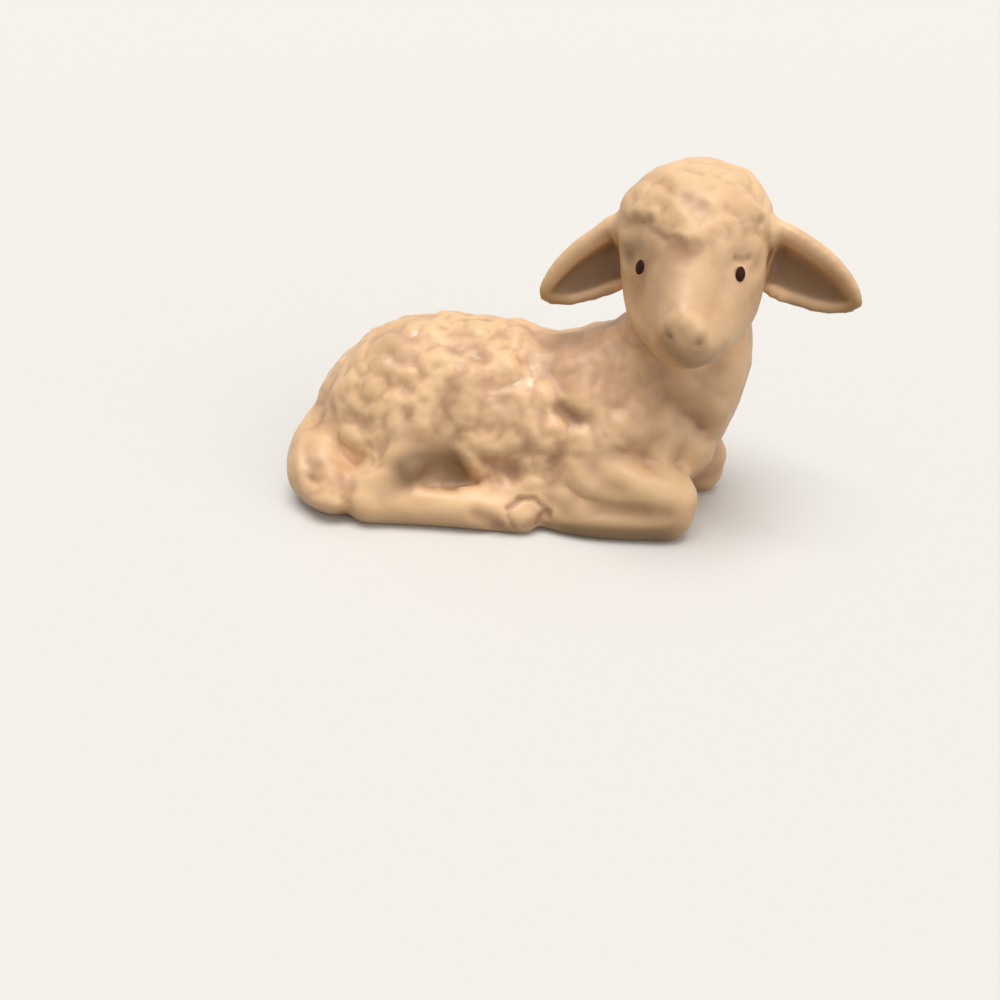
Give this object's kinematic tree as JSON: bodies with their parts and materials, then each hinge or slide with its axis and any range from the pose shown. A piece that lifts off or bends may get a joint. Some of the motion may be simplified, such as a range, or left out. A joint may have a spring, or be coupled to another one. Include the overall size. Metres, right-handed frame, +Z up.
{
  "type": "sheep figurine",
  "caption": "Lying lamb figurine in bisque porcelain: hollow fleecy body, turned head with cupped drooping ears, folded legs, curled tail and black enamel eyes.",
  "frame": {"origin": "on the flat resting face, midway along the body", "axes": "+X from the rump to the chest, +Z up from the table; the lamb looks along -Y"},
  "size_m": [0.0831, 0.0415, 0.0519],
  "materials": {
    "bisque_fleece": "satin",
    "bisque_face": "satin",
    "bisque_skin": "satin",
    "black_enamel": "gloss"
  },
  "bodies": {
    "root": {"body_casting": "bisque_fleece", "head_casting": "bisque_face", "right_ear": "bisque_skin", "left_ear": "bisque_skin", "right_foreleg": "bisque_skin", "left_foreleg": "bisque_skin", "right_hind_leg": "bisque_skin", "left_hind_leg": "bisque_skin", "tail": "bisque_fleece", "right_eye": "black_enamel", "left_eye": "black_enamel"}
  },
  "joints": []
}
